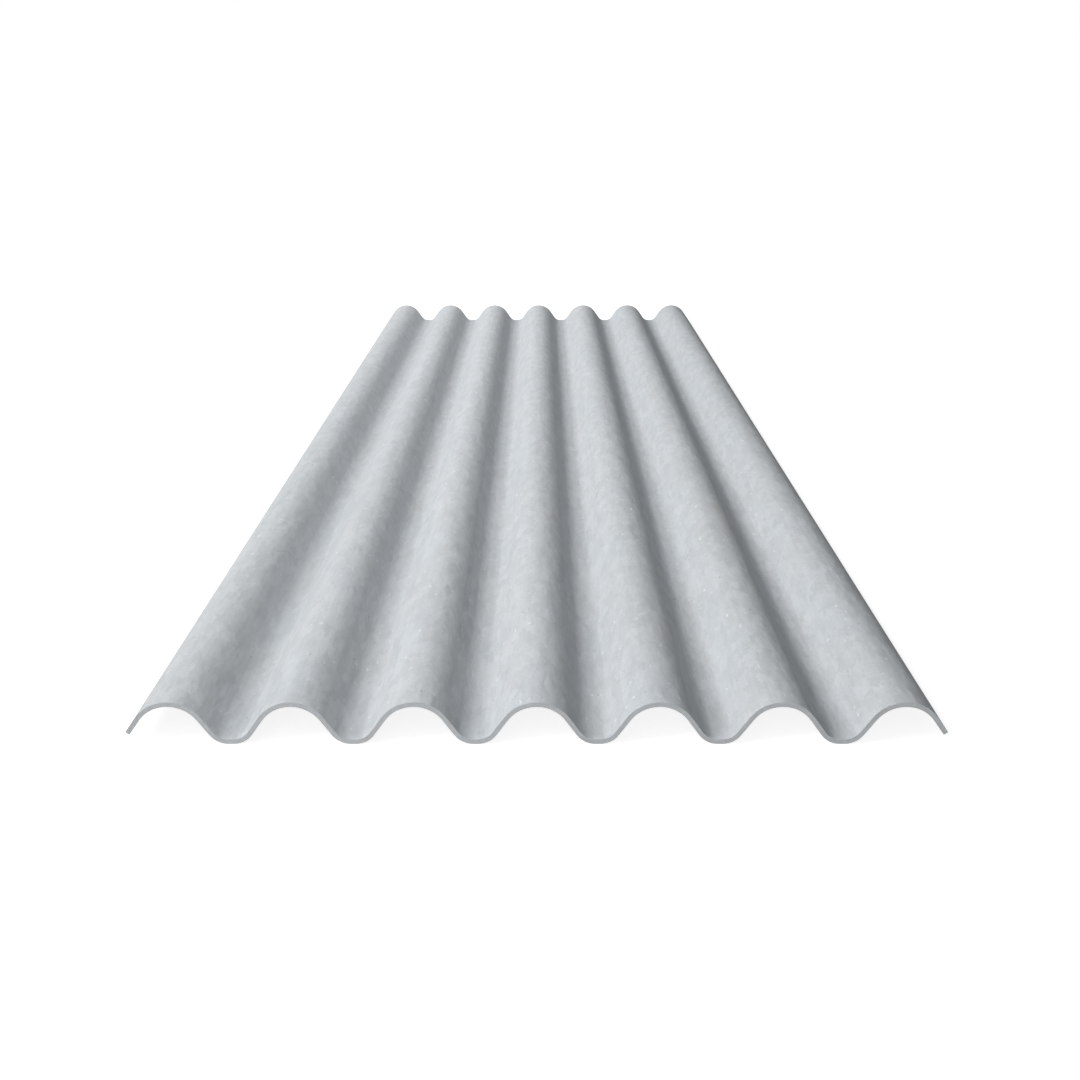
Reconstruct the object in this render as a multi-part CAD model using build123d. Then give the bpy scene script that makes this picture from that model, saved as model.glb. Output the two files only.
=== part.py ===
import os
from math import cos, radians, sin

from build123d import *

# Corrugated fibre cement sheet: one pressed sheet that lies on its troughs.
# X runs across the waves, Y along the sheet and Z up. The origin is on the floor, under the middle.
# Every length is in millimetres and every angle in degrees.

# Driving dimensions
pitch = 146.0  # from one crest to the next
crest_count = 7
wave_depth = 48.5  # from crest to trough, along one face
thickness = 6.2  # the same on crests, flanks and troughs
flank_slope = 54.5  # of the straight part between crest and trough
trough_radius = 24.0  # of a trough's bends, to the middle of the thickness
foot_width = 6.0  # the flat strip that each trough rests on
edge_rise = 12.0  # from the floor to the lowest corner of each side edge
sheet_length = 3050.0

# A flank touches both of its arcs, so its slope, the pitch and the depth settle the sum of the two
# radii and the length of straight that is left between them.
slope_run = cos(radians(flank_slope))
slope_rise = sin(radians(flank_slope))
arc_fall = 1 - slope_run  # how far an arc falls from crest to flank, for each millimetre of radius
bend_distance = (pitch - foot_width) / 2  # across, from a crest's arc centre to the next bend's
radius_sum = (bend_distance * slope_rise - wave_depth * slope_run) / arc_fall
crest_radius = radius_sum - trough_radius

# Levels above the floor
trough_level = thickness / 2  # the middle of the thickness, at a trough
crest_level = trough_level + wave_depth
crest_centre = crest_level - crest_radius
bend_centre = trough_level + trough_radius

# Each outer flank stops short of a trough, and its end is cut square to the sheet's faces.
edge_middle = edge_rise + thickness / 2 * slope_run
edge_flank = (crest_level - crest_radius * arc_fall - edge_middle) / slope_rise

crest_places = [(i - (crest_count - 1) / 2) * pitch for i in range(crest_count)]
trough_places = [x + pitch / 2 for x in crest_places[:-1]]


def crest(x, offset):
    # the arc over the crest at x, from left to right
    return CenterArc((x, crest_centre), crest_radius + offset, 90 + flank_slope, -2 * flank_slope)


def trough(x, offset):
    # the bend, the flat foot and the bend of the trough at x, from left to right
    radius = trough_radius - offset
    left = CenterArc((x - foot_width / 2, bend_centre), radius, 270 - flank_slope, flank_slope)
    right = CenterArc((x + foot_width / 2, bend_centre), radius, 270, flank_slope)
    return [left, Line(left @ 1, right @ 0), right]


def face_line(offset):
    # the whole wave, offset to one side of the middle of the thickness: crests and troughs in turn,
    # joined by straight flanks, with half a wave's flank beyond the first and the last crest
    first = crest(crest_places[0], offset)
    line = [Line(first @ 0 - Vector(slope_run, slope_rise) * edge_flank, first @ 0), first]
    for x in trough_places:
        bends = trough(x, offset)
        next_crest = crest(x + pitch / 2, offset)
        line += [Line(line[-1] @ 1, bends[0] @ 0), *bends]
        line += [Line(bends[-1] @ 1, next_crest @ 0), next_crest]
    line.append(Line(line[-1] @ 1, line[-1] @ 1 + Vector(slope_run, -slope_rise) * edge_flank))
    return line


def sheet_section():
    # the cut end: the top and the underside are parallel, and the edge cuts close them
    top = face_line(thickness / 2)
    underside = face_line(-thickness / 2)
    left_cut = Line(underside[0] @ 0, top[0] @ 0)
    right_cut = Line(top[-1] @ 1, underside[-1] @ 1)
    return make_face([*top, right_cut, *underside, left_cut])


def corrugated_sheet():
    return extrude(Plane.XZ * sheet_section(), sheet_length / 2, both=True)


os.makedirs("parts", exist_ok=True)
sheet = corrugated_sheet()
export_step(sheet, "parts/corrugated_sheet.step")

box = sheet.bounding_box()
print(f"crest radius {crest_radius:.2f} mm, edge flank {edge_flank:.2f} mm, volume {sheet.volume / 1e9:.5f} m3")
print(f"size {box.size.X:.2f} x {box.size.Y:.2f} x {box.size.Z:.2f} mm, low corner {box.min}")
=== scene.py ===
# Corrugated fibre cement sheet, lying on a white floor.
# Lengths are in metres and angles in degrees. X runs across the waves, Y along the sheet, Z up.
import math

import bpy
import numpy as np
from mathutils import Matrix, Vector


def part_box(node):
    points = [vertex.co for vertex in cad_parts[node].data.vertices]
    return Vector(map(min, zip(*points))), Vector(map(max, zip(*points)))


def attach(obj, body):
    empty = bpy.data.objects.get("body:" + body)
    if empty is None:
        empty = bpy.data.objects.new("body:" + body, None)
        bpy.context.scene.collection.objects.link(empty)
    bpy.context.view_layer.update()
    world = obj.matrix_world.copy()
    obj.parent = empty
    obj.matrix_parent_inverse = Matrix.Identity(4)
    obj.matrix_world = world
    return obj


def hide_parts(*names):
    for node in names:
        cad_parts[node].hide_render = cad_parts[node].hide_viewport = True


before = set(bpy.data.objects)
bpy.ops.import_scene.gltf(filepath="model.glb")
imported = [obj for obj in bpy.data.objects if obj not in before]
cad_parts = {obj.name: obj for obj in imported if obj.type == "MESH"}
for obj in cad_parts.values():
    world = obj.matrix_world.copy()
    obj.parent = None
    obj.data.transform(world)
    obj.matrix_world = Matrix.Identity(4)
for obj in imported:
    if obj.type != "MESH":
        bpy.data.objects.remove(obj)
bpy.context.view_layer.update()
solidLow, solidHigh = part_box("corrugated_sheet")
print("solid loaded, size", [round(v, 4) for v in solidHigh - solidLow])


# The sheet: first the section of the solid, then the mesh, then what the press and the saw leave.
# An uneven pattern is its size one way, its size the other way and how many waves it adds up.
sheet = {
    "pitch": 0.146,
    "waveDepth": 0.0485,
    "thickness": 0.0062,
    "flankSlope": 54.5,
    "troughRadius": 0.024,  # of the middle of the thickness
    "footWidth": 0.006,
    "halfWaves": 6,  # from the middle crest to the outer crest
    "edgeRise": 0.012,  # from the floor to the lowest corner of each side edge
    "length": solidHigh.y - solidLow.y,
    "arris": 0.0002,  # rounding of the cut edges
    "arrisSteps": 3,
    "acrossStep": 0.0031,  # mesh spacing over the waves
    "alongCount": 86,  # mesh stations from end to end
    "throughCount": 8,  # mesh rows over the thickness of a cut
    "topSink": 0.00012,  # keeps the crests inside the solid's flat facets
    "dipDepth": 0.0001,  # middle depth of the dips in the pressed faces
    "wideDips": (0.13, 0.8, 14),  # across, and along the sheet
    "wideDipShare": 0.7,
    "smallDips": (0.035, 0.2, 18),
    "smallDipShare": 0.3,
    "layerDepth": 0.00009,  # middle depth of the grooves between the layers on a cut
    "layers": (0.03, 0.0012, 18),  # along the cut, and through the thickness
    "nibbleDepth": 0.00012,  # on the arrises
    "nibbles": (0.012, 0.1, 16),
    "nibbleRuns": (0.06, 0.3, 8),
    "nibbleShare": 0.5,  # more of it leaves less of the arris whole
    "seed": 41,
}


# Sizes that follow from the section. A flank is tangent to its crest arc and to its trough bend, so
# both radii together are (apart sin slope - depth cos slope) / (1 - cos slope), where apart is the
# distance between the two centres across the sheet. The flank between the two arcs is
# (depth sin slope - apart (1 - cos slope)) / (1 - cos slope) long.
def sectionSizes(s):
    slope = math.radians(s["flankSlope"])
    apart = (s["pitch"] - s["footWidth"]) / 2
    fall = 1 - math.cos(slope)
    bothRadii = (apart * math.sin(slope) - s["waveDepth"] * math.cos(slope)) / fall
    crestRadius = bothRadii - s["troughRadius"]
    crestLevel = s["waveDepth"] + s["thickness"] / 2
    edgeLevel = s["edgeRise"] + s["thickness"] / 2 * math.cos(slope)
    size = {
        "slope": slope,
        "crestRadius": crestRadius,
        "crestLevel": crestLevel,
        "crestArc": crestRadius * slope,
        "flank": (s["waveDepth"] * math.sin(slope) - apart * fall) / fall,
        "bend": s["troughRadius"] * slope,
        "edgeFlank": (crestLevel - crestRadius * fall - edgeLevel) / math.sin(slope),
    }
    size["halfWave"] = size["crestArc"] + size["flank"] + size["bend"] + s["footWidth"] / 2
    size["halfAcross"] = s["halfWaves"] * size["halfWave"] + size["crestArc"] + size["edgeFlank"]
    return size


# Middle of the thickness at the distance a from the middle crest, measured over the waves. Folded
# into half a wave it is an arc of the crest radius, a straight flank, an arc of the trough radius
# and half of the flat foot, each starting where the last ends. Beyond the outer crests the flank
# runs on to the edge. Returns x, z and the tilt of the face, positive where it falls towards +X.
def midLine(a, s, size):
    wave = np.clip(np.round(a / (2 * size["halfWave"])), -s["halfWaves"] / 2, s["halfWaves"] / 2)
    folded = a - wave * 2 * size["halfWave"]
    side = np.where(folded < 0, -1.0, 1.0)
    atEdge = (np.abs(wave) == s["halfWaves"] / 2) & (side == np.sign(wave))
    t = np.abs(folded)
    afterCrest = np.clip(t - size["crestArc"], 0, None)
    afterFlank = np.where(atEdge, 0, np.clip(afterCrest - size["flank"], 0, None))
    afterBend = np.clip(afterFlank - size["bend"], 0, None)
    crestTurn = np.minimum(t, size["crestArc"]) / size["crestRadius"]
    flank = afterCrest - afterFlank
    bendTurn = (afterFlank - afterBend) / s["troughRadius"]
    slope = size["slope"]
    x = size["crestRadius"] * np.sin(crestTurn) + flank * math.cos(slope) + afterBend
    x = x + s["troughRadius"] * (math.sin(slope) - np.sin(slope - bendTurn))
    drop = size["crestRadius"] * (1 - np.cos(crestTurn)) + flank * math.sin(slope)
    drop = drop + s["troughRadius"] * (np.cos(slope - bendTurn) - math.cos(slope))
    return wave * s["pitch"] + side * x, size["crestLevel"] - drop, side * (crestTurn - bendTurn)


# From a place (a, y, h) in the flat sheet to the same place in the pressed one: the mid-line's
# point at a, plus h along the line square to it.
def pressed(place, s, size):
    a, y, h = place.T
    x, z, tilt = midLine(a, s, size)
    return np.stack([x + h * np.sin(tilt), y, z + h * np.cos(tilt)], axis=1)


# Random unevenness from -1 to 1: the sum of plane waves sin 2 pi (f p / pSize + g q / qSize + phase)
# with random f, g and phase, divided by the root of their count and then cut off at a limit.
def unevenness(p, q, pSize, qSize, count, rng):
    limit = 1.5
    total = 0
    for f, g in rng.normal(0, 1, (count, 2)):
        total = total + np.sin(2 * math.pi * (p * f / pSize + q * g / qSize + rng.random()))
    return np.clip(total / math.sqrt(count), -limit, limit) / limit


# How far the finished surface lies inside the true section. The faces dip in long shallow clouds,
# the cuts are grooved between the layers, and the arrises are nibbled. cut is 0 on a face and 1 on
# a cut, and onArris rises to 1 in the middle of a rounding.
def wornAway(place, out, s):
    a, y, h = place.T
    rng = np.random.default_rng(s["seed"])
    wide = s["wideDipShare"] * unevenness(a, y, *s["wideDips"], rng)
    small = s["smallDipShare"] * unevenness(a, y, *s["smallDips"], rng)
    layers = 1 + unevenness(a + y, h, *s["layers"], rng)
    bites = unevenness(a, y, *s["nibbles"], rng) + unevenness(a, y, *s["nibbleRuns"], rng)
    cut = np.clip(np.abs(out[:, :2]).max(axis=1), 0, 1) ** 4
    middle = 0.29  # of a rounding, as 1 - cos 45 degrees
    onArris = np.clip((1 - np.abs(out).max(axis=1)) / middle, 0, 1)
    top = np.clip(out[:, 2], 0, 1)
    face = s["dipDepth"] * (1 + wide + small) + s["topSink"] * top
    nibbled = s["nibbleDepth"] * onArris * np.clip(s["nibbleShare"] + bites, 0, 2)
    return face * (1 - cut) + s["layerDepth"] * layers * cut + nibbled


# Even steps from low to high, with one more value a rim's width inside each end, which keeps the
# shading of the rounding off the flat.
def rimmed(low, high, count, rim):
    return np.concatenate([[low], np.linspace(low + rim, high - rim, count), [high]])


# Corner numbers of the faces of a grid of rows times columns. A closed grid joins its last column
# to its first.
def gridFaces(rows, columns, closed, first=0):
    r = np.arange(rows - 1)[:, None] * columns
    c = np.arange(columns if closed else columns - 1)[None, :]
    d = (c + 1) % columns
    return np.stack([r + c, r + d, r + columns + d, r + columns + c], axis=-1).reshape(-1, 4) + first


# The flat sheet as a box with rounded arrises: a core box, and from each of its points the radius
# along an outward direction. A loop runs round the section over the top, down one cut, back
# underneath and up the other cut, with a quarter circle at each corner. The loops stand along Y,
# and over both ends they lean in through a quarter circle of their own. A flat cap of the core's
# size closes each end. Returns the places (a, y, h), the outward directions and the faces.
def flatSheet(s, size):
    r = s["arris"]
    halfA, halfY, halfH = size["halfAcross"] - r, s["length"] / 2 - r, s["thickness"] / 2 - r
    a = rimmed(-halfA, halfA, int(2 * halfA / s["acrossStep"]), r)
    h = rimmed(-halfH, halfH, s["throughCount"] - 2, r / 2)
    quarter = np.linspace(0, math.pi / 2, s["arrisSteps"] + 1)
    corner = np.ones(len(quarter) - 2)

    loopA = np.concatenate([a, halfA * corner, np.full(len(h), halfA), halfA * corner])
    loopH = np.concatenate([np.full(len(a), halfH), halfH * corner, h[::-1], -halfH * corner])
    facing = np.concatenate([0 * a, quarter[1:-1], math.pi / 2 + 0 * h, math.pi / 2 + quarter[1:-1]])
    loopA = np.concatenate([loopA, -loopA])
    loopH = np.concatenate([loopH, -loopH])
    facing = np.concatenate([facing, facing + math.pi])

    y = rimmed(-halfY, halfY, s["alongCount"], r)
    loopY = np.concatenate([np.full(s["arrisSteps"], -halfY), y, np.full(s["arrisSteps"], halfY)])
    lean = np.concatenate([-quarter[:0:-1], 0 * y, quarter[1:]])

    grid = (len(lean), len(facing))
    upright = np.cos(lean)[:, None]
    out = np.stack([np.sin(facing) * upright, np.broadcast_to(np.sin(lean)[:, None], grid),
                    np.cos(facing) * upright], axis=-1)
    core = np.stack([np.broadcast_to(loopA, grid), np.broadcast_to(loopY[:, None], grid),
                     np.broadcast_to(loopH, grid)], axis=-1)
    places, outs = [(core + r * out).reshape(-1, 3)], [out.reshape(-1, 3)]
    faces = [gridFaces(*grid, True)]
    for end in (-1, 1):
        capA, capH = np.meshgrid(a * end, h, indexing="ij")
        capY = np.full_like(capA, end * (halfY + r))
        faces.append(gridFaces(len(a), len(h), False, sum(map(len, places))))
        places.append(np.stack([capA, capY, capH], axis=-1).reshape(-1, 3))
        outs.append(np.tile([0.0, end, 0.0], (capA.size, 1)))
    return np.concatenate(places), np.concatenate(outs), np.concatenate(faces)


# Joins points that share a place. A face that this leaves with three corners becomes a triangle,
# and one with two goes. Returns the numbers of the kept points, and the faces.
def welded(places, faces):
    perMetre = 1e6  # points nearer than a thousandth of a millimetre are one
    rounded = np.round(places * perMetre).astype(np.int64)
    _, kept, joined = np.unique(rounded, axis=0, return_index=True, return_inverse=True)
    faces = joined.reshape(-1)[faces]
    distinct = faces != np.roll(faces, -1, axis=1)
    whole = faces[distinct.all(axis=1)].tolist()
    folded = [f[d].tolist() for f, d in zip(faces, distinct) if d.sum() == 3]
    return kept, whole + folded


# The flat sheet, welded, worn and pressed. Each point keeps its flat place for the finishes.
def makeSheet(s):
    size = sectionSizes(s)
    place, out, quads = flatSheet(s, size)
    kept, faces = welded(place, quads)
    place, out = place[kept], out[kept]
    surface = place - out * wornAway(place, out, s)[:, None]

    mesh = bpy.data.meshes.new("fibreCementSheet")
    mesh.from_pydata(pressed(surface, s, size), [], faces)
    flatPlace = mesh.attributes.new("flatPlace", "FLOAT_VECTOR", "POINT")
    flatPlace.data.foreach_set("vector", place.astype(np.float32).ravel())

    # finishes: 0 on the top, 1 underneath, 2 on the cuts and their roundings
    cutLean = 0.3  # how far two opposite corners of a face on a cut lean outwards together
    diagonal = np.array([[f[0], f[2]] for f in faces])
    facing = out[diagonal].sum(axis=1)
    cut = np.abs(facing[:, :2]).max(axis=1) > cutLean
    finish = np.where(cut, 2, np.where(facing[:, 2] > 0, 0, 1))
    mesh.polygons.foreach_set("material_index", finish.astype(np.int32))
    mesh.polygons.foreach_set("use_smooth", np.ones(len(faces), dtype=bool))
    mesh.update()
    piece = bpy.data.objects.new("fibreCementSheet", mesh)
    bpy.context.scene.collection.objects.link(piece)
    print("sheet pressed:", len(place), "points and", len(faces), "faces")
    return piece, size


# Finishes. Every pattern reads flatPlace, the place on the flat sheet in metres, so it follows the
# waves without a stretch. Sizes are across and along the sheet, and a third is through it.
# Strengths are shares of the brightness, and depths are in millimetres. Spots sit in cells of the
# given size: the share is of the cells that hold one, and the radius is a share of the cell.
cement = {
    "warmGrey": (0.512, 0.522, 0.530),
    "tintSize": (0.07, 0.2),
    "tintMiddle": 0.35,  # share of the warm grey
    "tintSpread": 0.22,
    "blotchStrength": 0.026,
    "grainStrength": 0.030,
    "grainDepth": 0.02,
}
pressedTop = dict(
    cement,
    coolGrey=(0.493, 0.522, 0.547),
    cloudSize=(0.09, 0.2),
    cloudStrength=0.008,
    blotchSize=(0.032, 0.08),
    dentSize=(0.026, 0.06),
    dentDepth=0.38,
    creaseSize=(0.017, 0.045),
    creaseDepth=0.24,
    patchSize=(0.0105, 0.028),
    patchStrength=0.052,
    grainSize=(0.0016, 0.0024),
    streakSize=(0.0055, 0.22),
    streakStrength=0.014,
    fleckSize=(0.011, 0.024),
    fleckShare=0.30,
    fleckRadius=0.22,
    fleckStrength=0.30,
    smearSize=(0.0065, 0.036),
    smearShare=0.16,
    smearRadius=0.15,
    smearStrength=0.30,
    pitSize=(0.012, 0.024),
    pitShare=0.30,
    pitRadius=0.13,
    # painted shade: the pits are darkened as well as sunk
    pitPaintedShade=0.32,
    pitDepth=0.20,
    fibreSize=(0.0011, 0.014),
    fibreStrength=0.07,
    fibreDepth=0.02,
    chipWidth=0.0016,  # of the pale chipped places beside a cut
    chipLength=0.007,
    chipStrength=0.12,
    roughness=0.85,
    blotchRoughness=0.03,
    grainRoughness=0.02,
    pitRoughness=0.1,
    shine=0.12,
)
feltSide = dict(
    pressedTop,
    coolGrey=(0.470, 0.497, 0.517),
    cloudStrength=0.03,
    threadSize=0.0021,
    threadDepth=0.035,
    driftSizes=(0.013, 0.017),  # of the places where the threads stray across and along
    driftShare=0.22,  # of a thread's size
)
sawCut = dict(
    cement,
    coolGrey=(0.515, 0.540, 0.560),
    blotchSize=(0.006, 0.006),
    grainSize=(0.0011, 0.0011),
    layerSize=(0.03, 0.03, 0.0010),
    layerStrength=0.05,
    layerDepth=0.05,
    sawMarkSize=(0.0009, 0.0009, 0.008),
    sawMarkStrength=0.02,
    holeSize=(0.0024, 0.0024),
    holeShare=0.3,
    holeRadius=0.16,
    # painted shade: the holes are darkened as well as sunk
    holePaintedShade=0.3,
    holeDepth=0.3,
    roughness=0.90,
    grainRoughness=0.03,
    shine=0.10,
)


# a new node with the given settings
def addNode(tree, kind, **values):
    made = tree.nodes.new(kind)
    for name, value in values.items():
        setattr(made, name, value)
    return made


# the result of one operation on numbers and on other nodes' outputs
def calc(tree, operation, *values, clamp=False):
    made = addNode(tree, "ShaderNodeMath", operation=operation, use_clamp=clamp)
    for socket, value in zip(made.inputs, values):
        if isinstance(value, bpy.types.NodeSocket):
            tree.links.new(value, socket)
        else:
            socket.default_value = value
    return made.outputs[0]


# the start value plus each pattern times its strength
def addUp(tree, start, *parts):
    for pattern, strength in parts:
        start = calc(tree, "MULTIPLY_ADD", pattern, strength, start)
    return start


# the place, turned back and divided by a size across, a size along and one through the thickness
def fitted(tree, place, across, along, through=None, turn=0.0):
    made = addNode(tree, "ShaderNodeMapping", vector_type="TEXTURE")
    made.inputs["Scale"].default_value = (across, along, through or across)
    made.inputs["Rotation"].default_value = (0, 0, math.radians(turn))
    tree.links.new(place, made.inputs["Vector"])
    return made.outputs[0]


# cloudy noise about zero, mostly from -1 to 1, whose patches are one unit of the place wide
def mottle(tree, place, detail=2.0, fineness=0.5):
    contrast = 7.0
    noise = addNode(tree, "ShaderNodeTexNoise")
    noise.inputs["Scale"].default_value = 1.0
    noise.inputs["Detail"].default_value = detail
    noise.inputs["Roughness"].default_value = fineness
    tree.links.new(place, noise.inputs["Vector"])
    return calc(tree, "MULTIPLY_ADD", noise.outputs["Fac"], contrast, -contrast / 2)


# smooth rise from 0 to 1 while the value goes from low to high, where low may be the larger
def ramp(tree, value, low, high):
    made = addNode(tree, "ShaderNodeMapRange", interpolation_type="SMOOTHSTEP")
    tree.links.new(value, made.inputs["Value"])
    made.inputs["From Min"].default_value = low
    made.inputs["From Max"].default_value = high
    return made.outputs["Result"]


# separate spots with ragged rims, in a share of the place's unit cells, each of uneven strength up
# to 1
def spots(tree, place, share, radius):
    notchSize = 0.17  # as a share of the cell
    notchDepth, fullRadius = 0.45, 0.4  # as shares of the radius
    cells = addNode(tree, "ShaderNodeTexVoronoi")
    cells.inputs["Scale"].default_value = 1.0
    tree.links.new(place, cells.inputs["Vector"])
    notches = mottle(tree, fitted(tree, place, notchSize, notchSize))
    ragged = addUp(tree, cells.outputs["Distance"], (notches, radius * notchDepth))
    chance = addNode(tree, "ShaderNodeSeparateColor")
    tree.links.new(cells.outputs["Color"], chance.inputs[0])
    chosen = calc(tree, "LESS_THAN", chance.outputs[0], share)
    strength = calc(tree, "MULTIPLY", chosen, chance.outputs[1])
    return calc(tree, "MULTIPLY", ramp(tree, ragged, radius, radius * fullRadius), strength)


# the place, pushed about by noise: how many swirls to a unit, and how many units they may push
def stirred(tree, place, swirls, push):
    noise = addNode(tree, "ShaderNodeTexNoise")
    noise.inputs["Scale"].default_value = swirls
    tree.links.new(place, noise.inputs["Vector"])
    made = addNode(tree, "ShaderNodeVectorMath", operation="MULTIPLY_ADD")
    tree.links.new(noise.outputs["Color"], made.inputs[0])
    made.inputs[1].default_value = (push, push, push)
    tree.links.new(place, made.inputs[2])
    return made.outputs[0]


# angular patches that fill the surface, each with a value of its own from -1 to 1
def patches(tree, place):
    cells = addNode(tree, "ShaderNodeTexVoronoi", feature="SMOOTH_F1")
    cells.inputs["Scale"].default_value = 1.0
    cells.inputs["Smoothness"].default_value = 0.15
    tree.links.new(stirred(tree, place, swirls=1.3, push=1.6), cells.inputs["Vector"])
    value = addNode(tree, "ShaderNodeSeparateColor")
    tree.links.new(cells.outputs["Color"], value.inputs[0])
    return calc(tree, "MULTIPLY_ADD", value.outputs[0], 2.0, -1.0)


# short thin marks in several directions: the ridges of noise drawn out along each direction
def fibres(tree, place, width, length):
    ridgeFoot, ridgeTop = 1.25, 2.0  # of the noise: a mark starts at the first, is full at the second
    marks = 0.0
    for turn in (18, 71, 118, 163):
        drawn = mottle(tree, fitted(tree, place, width, length, turn=turn), detail=0.0)
        marks = calc(tree, "MAXIMUM", ramp(tree, drawn, ridgeFoot, ridgeTop), marks)
    return marks


# 1 in scattered places on a rim of the given width beside the cut edges, fading inwards
def chippedRim(tree, place, width, length, halfAcross, halfLength):
    chipFoot, chipTop = 0.2, 1.2  # of the noise: a chip starts at the first, is full at the second
    notchDepth = 0.5  # as a share of the width
    split = addNode(tree, "ShaderNodeSeparateXYZ")
    tree.links.new(place, split.inputs[0])
    toSide = calc(tree, "SUBTRACT", halfAcross, calc(tree, "ABSOLUTE", split.outputs[0]))
    toEnd = calc(tree, "SUBTRACT", halfLength, calc(tree, "ABSOLUTE", split.outputs[1]))
    notches = mottle(tree, fitted(tree, place, length, length), detail=3.0)
    toCut = addUp(tree, calc(tree, "MINIMUM", toSide, toEnd), (notches, width * notchDepth))
    return calc(tree, "MULTIPLY", ramp(tree, toCut, width, 0.0), ramp(tree, notches, chipFoot, chipTop))


# a plain weave: the product of two sine waves, one across and one along the sheet, whose threads
# stray by a share of their size
def clothPrint(tree, place, threadSize, driftSizes, driftShare):
    strayed = addNode(tree, "ShaderNodeVectorMath", operation="ADD")
    tree.links.new(place, strayed.inputs[0])
    push = addNode(tree, "ShaderNodeCombineXYZ")
    for axis, size in enumerate(driftSizes):
        drift = mottle(tree, fitted(tree, place, size, size))
        tree.links.new(calc(tree, "MULTIPLY", drift, threadSize * driftShare), push.inputs[axis])
    tree.links.new(push.outputs[0], strayed.inputs[1])
    split = addNode(tree, "ShaderNodeSeparateXYZ")
    tree.links.new(strayed.outputs[0], split.inputs[0])
    threads = []
    for axis in (0, 1):
        phase = calc(tree, "MULTIPLY", split.outputs[axis], math.pi / threadSize)
        threads.append(calc(tree, "SINE", phase))
    return calc(tree, "MULTIPLY", *threads)


def startMaterial(name, look):
    material = bpy.data.materials.new(name)
    material.use_nodes = True
    tree = material.node_tree
    shader = tree.nodes["Principled BSDF"]
    shader.inputs["Specular IOR Level"].default_value = look["shine"]
    place = addNode(tree, "ShaderNodeAttribute", attribute_name="flatPlace")
    return material, tree, shader, place.outputs["Vector"]


# Colour: between cool and warm grey in large clouds, times the brightness. Relief: the height in
# millimetres, as bump.
def finishMaterial(tree, shader, place, look, bright, height, rough):
    stray = mottle(tree, fitted(tree, place, *look["tintSize"]))
    warmth = calc(tree, "MULTIPLY_ADD", stray, look["tintSpread"], look["tintMiddle"], clamp=True)
    grey = addNode(tree, "ShaderNodeMix", data_type="RGBA")
    tree.links.new(warmth, grey.inputs[0])
    grey.inputs[6].default_value = (*look["coolGrey"], 1)  # inputs 6 and 7 and output 2 are colours
    grey.inputs[7].default_value = (*look["warmGrey"], 1)
    colour = addNode(tree, "ShaderNodeVectorMath", operation="SCALE")
    tree.links.new(grey.outputs[2], colour.inputs[0])
    tree.links.new(bright, colour.inputs["Scale"])
    tree.links.new(colour.outputs[0], shader.inputs["Base Color"])
    tree.links.new(rough, shader.inputs["Roughness"])
    bump = addNode(tree, "ShaderNodeBump")
    bump.inputs["Distance"].default_value = 0.001  # a millimetre
    tree.links.new(height, bump.inputs["Height"])
    tree.links.new(bump.outputs[0], shader.inputs["Normal"])


# a pressed face: clouds, blotches, angular patches and faint streaks along the sheet, over shallow
# dents and creases, with pale flecks and smears, pits darkened with painted shade, dark fibres and chips
# beside the cuts
def faceMaterial(name, look, size, halfLength):
    material, tree, shader, place = startMaterial(name, look)
    cloud = mottle(tree, fitted(tree, place, *look["cloudSize"]), detail=3.0)
    blotch = mottle(tree, fitted(tree, place, *look["blotchSize"]), detail=4.0, fineness=0.72)
    grain = mottle(tree, fitted(tree, place, *look["grainSize"]), detail=1.0)
    streak = mottle(tree, fitted(tree, place, *look["streakSize"]))
    dent = mottle(tree, fitted(tree, place, *look["dentSize"]), fineness=0.42)
    crease = calc(tree, "ABSOLUTE", mottle(tree, fitted(tree, place, *look["creaseSize"]), detail=1.0))
    patch = patches(tree, fitted(tree, place, *look["patchSize"]))
    fleck = spots(tree, fitted(tree, place, *look["fleckSize"]), look["fleckShare"], look["fleckRadius"])
    smear = spots(tree, fitted(tree, place, *look["smearSize"]), look["smearShare"], look["smearRadius"])
    pit = spots(tree, fitted(tree, place, *look["pitSize"]), look["pitShare"], look["pitRadius"])
    fibre = fibres(tree, place, *look["fibreSize"])
    chips = chippedRim(tree, place, look["chipWidth"], look["chipLength"], size["halfAcross"], halfLength)
    bright = addUp(
        tree,
        1.0,
        (cloud, look["cloudStrength"]),
        (blotch, look["blotchStrength"]),
        (grain, look["grainStrength"]),
        (streak, look["streakStrength"]),
        (fleck, look["fleckStrength"]),
        # painted shade in the sunk pits
        (pit, -look["pitPaintedShade"]),
        (fibre, -look["fibreStrength"]),
        (chips, look["chipStrength"]),
        (patch, look["patchStrength"]),
        (smear, look["smearStrength"]),
    )
    height = addUp(
        tree,
        0.0,
        (dent, look["dentDepth"]),
        (crease, look["creaseDepth"]),
        (grain, look["grainDepth"]),
        (pit, -look["pitDepth"]),
        (fibre, look["fibreDepth"]),
    )
    if "threadSize" in look:
        cloth = clothPrint(tree, place, look["threadSize"], look["driftSizes"], look["driftShare"])
        height = addUp(tree, height, (cloth, look["threadDepth"]))
    rough = addUp(
        tree,
        look["roughness"],
        (blotch, look["blotchRoughness"]),
        (grain, look["grainRoughness"]),
        (pit, look["pitRoughness"]),
    )
    finishMaterial(tree, shader, place, look, bright, height, rough)
    print("finish made:", name)
    return material
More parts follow.
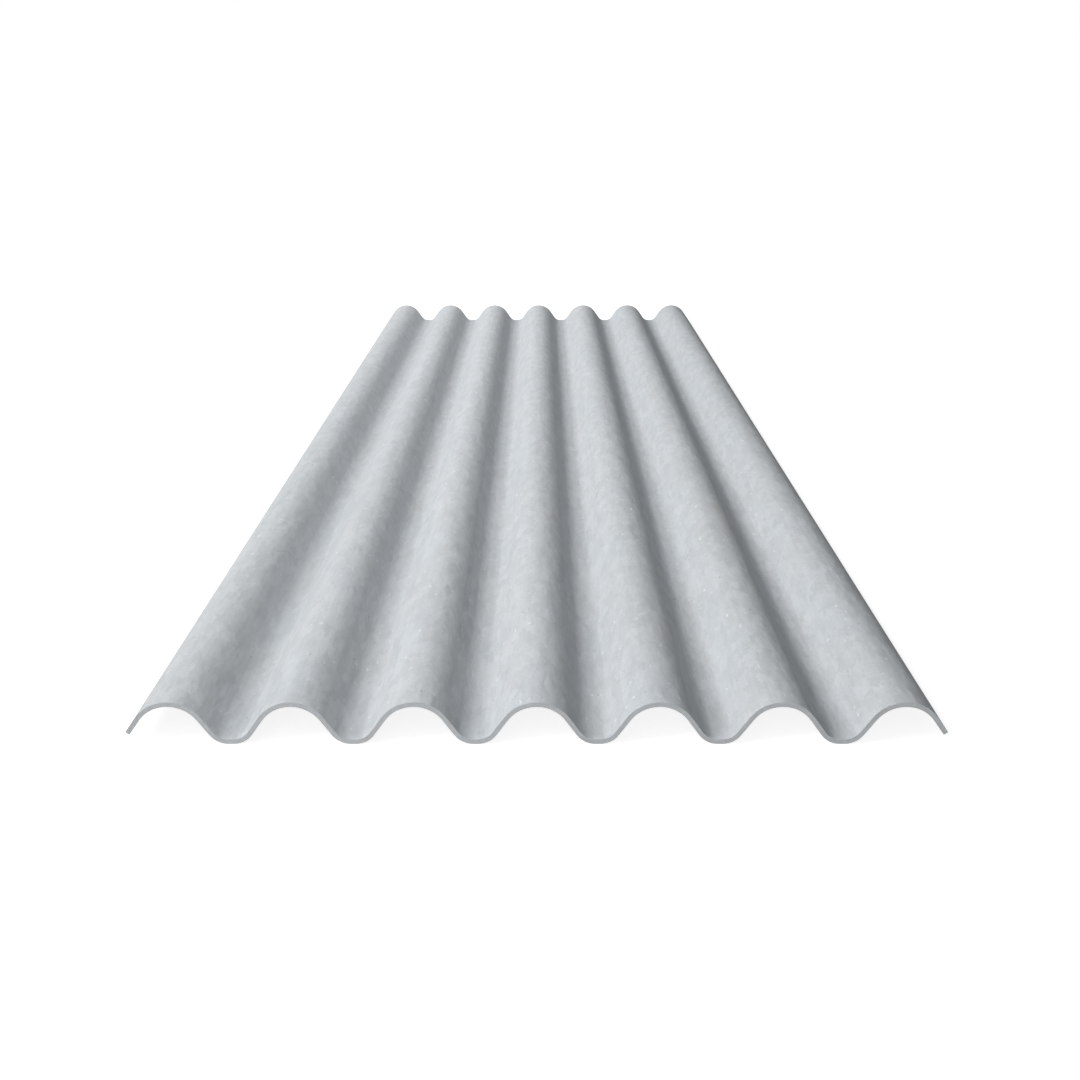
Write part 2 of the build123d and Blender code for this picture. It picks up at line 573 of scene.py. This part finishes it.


# the cut shows the layers that the sheet was rolled up from, small holes darkened with painted shade, and
# the blade's marks
def cutMaterial(name, look):
    material, tree, shader, place = startMaterial(name, look)
    blotch = mottle(tree, fitted(tree, place, *look["blotchSize"]), detail=3.0)
    grain = mottle(tree, fitted(tree, place, *look["grainSize"]), detail=1.0)
    layer = mottle(tree, fitted(tree, place, *look["layerSize"]))
    sawMark = mottle(tree, fitted(tree, place, *look["sawMarkSize"]))
    hole = spots(tree, fitted(tree, place, *look["holeSize"]), look["holeShare"], look["holeRadius"])
    bright = addUp(
        tree,
        1.0,
        (blotch, look["blotchStrength"]),
        (grain, look["grainStrength"]),
        (layer, look["layerStrength"]),
        (sawMark, look["sawMarkStrength"]),
        # painted shade in the sunk holes
        (hole, -look["holePaintedShade"]),
    )
    height = addUp(
        tree,
        0.0,
        (grain, look["grainDepth"]),
        (layer, look["layerDepth"]),
        (hole, -look["holeDepth"]),
    )
    rough = addUp(tree, look["roughness"], (grain, look["grainRoughness"]))
    finishMaterial(tree, shader, place, look, bright, height, rough)
    print("finish made:", name)
    return material


sheetPiece, sheetSize = makeSheet(sheet)
sheetPiece.data.materials.append(faceMaterial("pressedFace", pressedTop, sheetSize, sheet["length"] / 2))
sheetPiece.data.materials.append(faceMaterial("feltFace", feltSide, sheetSize, sheet["length"] / 2))
sheetPiece.data.materials.append(cutMaterial("sawnCut", sawCut))
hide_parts("corrugated_sheet")
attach(sheetPiece, "root")


# White floor. Seen directly it is a base white plus the light that falls on it, so the open floor
# is plain white and the sheet's shadow stays. To the sheet it is plain white paint.
floorLook = {
    "halfSize": 40.0,
    "gap": 0.0004,  # below the feet
    "paint": 0.82,
    "baseWhite": 0.87,
    "shadowShare": 0.42,  # of the light that falls on it
}


# 1 where the camera, a reflection or a clear material looks, else 0
def seenDirectly(tree):
    rays = addNode(tree, "ShaderNodeLightPath")
    mirrored = calc(tree, "MAXIMUM", rays.outputs["Is Glossy Ray"], rays.outputs["Is Transmission Ray"])
    return calc(tree, "MAXIMUM", rays.outputs["Is Camera Ray"], mirrored)


# the seen shader where it is seen directly, and the other one for the light
def mixSeen(tree, other, seen, outputKind):
    mix = addNode(tree, "ShaderNodeMixShader")
    tree.links.new(seenDirectly(tree), mix.inputs[0])
    tree.links.new(other, mix.inputs[1])
    tree.links.new(seen, mix.inputs[2])
    tree.links.new(mix.outputs[0], addNode(tree, outputKind).inputs[0])


def makeFloor(look):
    half = look["halfSize"]
    corners = np.array([(-half, -half), (half, -half), (half, half), (-half, half)])
    mesh = bpy.data.meshes.new("floor")
    mesh.from_pydata(np.column_stack([corners, np.full(4, -look["gap"])]), [], [(0, 1, 2, 3)])
    floor = bpy.data.objects.new("floor", mesh)
    bpy.context.scene.collection.objects.link(floor)
    material = bpy.data.materials.new("whiteFloor")
    material.use_nodes = True
    tree = material.node_tree
    tree.nodes.clear()
    paint = addNode(tree, "ShaderNodeBsdfDiffuse")
    paint.inputs["Color"].default_value = (look["paint"], look["paint"], look["paint"], 1)
    lit = addNode(tree, "ShaderNodeBsdfDiffuse")
    lit.inputs["Color"].default_value = (look["shadowShare"], look["shadowShare"], look["shadowShare"], 1)
    white = addNode(tree, "ShaderNodeEmission")
    white.inputs["Strength"].default_value = look["baseWhite"]
    both = addNode(tree, "ShaderNodeAddShader")
    tree.links.new(lit.outputs[0], both.inputs[0])
    tree.links.new(white.outputs[0], both.inputs[1])
    mixSeen(tree, paint.outputs[0], both.outputs[0], "ShaderNodeOutputMaterial")
    mesh.materials.append(material)
    print("floor made")


# Soft studio light: even light from all round, one broad lamp on the left and a long softbox over
# the left part of the sheet.
lights = {
    "ambient": 0.170,
    "lampStrength": 1.79,
    "lampElevation": 38.0,
    "lampTowardsCamera": 16.0,
    "lampSoftness": 30.0,
    "softboxPower": 55.5,
    "softboxPlace": (-0.5, 0.0, 1.0),
    "softboxSize": (14.0, 0.4),  # along the sheet, and across
}


# a lamp at a place, aimed at the middle of the sheet
def addLamp(name, kind, energy, place):
    lamp = bpy.data.lights.new(name, kind)
    lamp.energy = energy
    holder = bpy.data.objects.new(name, lamp)
    bpy.context.scene.collection.objects.link(holder)
    holder.location = place
    holder.rotation_euler = (-Vector(place)).to_track_quat("-Z", "Y").to_euler()
    return holder


def makeLights(look):
    world = bpy.data.worlds.new("studio")
    world.use_nodes = True
    tree = world.node_tree
    tree.nodes.clear()
    even = addNode(tree, "ShaderNodeBackground")
    even.inputs["Color"].default_value = (1, 1, 1, 1)
    even.inputs["Strength"].default_value = look["ambient"]
    white = addNode(tree, "ShaderNodeBackground")
    white.inputs["Color"].default_value = (1, 1, 1, 1)
    mixSeen(tree, even.outputs[0], white.outputs[0], "ShaderNodeOutputWorld")
    bpy.context.scene.world = world

    up, turn = math.radians(look["lampElevation"]), math.radians(look["lampTowardsCamera"])
    place = (-math.cos(up) * math.cos(turn), -math.cos(up) * math.sin(turn), math.sin(up))
    broad = addLamp("broadLamp", "SUN", look["lampStrength"], place)
    broad.data.angle = math.radians(look["lampSoftness"])
    soft = addLamp("softbox", "AREA", look["softboxPower"], look["softboxPlace"])
    soft.data.shape = "RECTANGLE"
    soft.data.size, soft.data.size_y = look["softboxSize"]
    soft.visible_camera = False
    print("lights made")


# The photograph's view, from beyond one end and a little above.
cameraLook = {
    "place": (0.004, -2.9886, 0.7476),
    "down": 18.524,  # below the level
    "focalPixels": 1360.0,
    "imagePixels": 1080,
}


def makeCamera(look):
    data = bpy.data.cameras.new("camera")
    data.sensor_width = 36.0
    data.lens = look["focalPixels"] / look["imagePixels"] * data.sensor_width
    data.clip_end = 200.0
    camera = bpy.data.objects.new("camera", data)
    bpy.context.scene.collection.objects.link(camera)
    camera.location = look["place"]
    camera.rotation_euler = (math.radians(90 - look["down"]), 0, 0)
    bpy.context.scene.camera = camera


makeFloor(floorLook)
makeLights(lights)
makeCamera(cameraLook)
bpy.context.scene.view_settings.view_transform = "Standard"
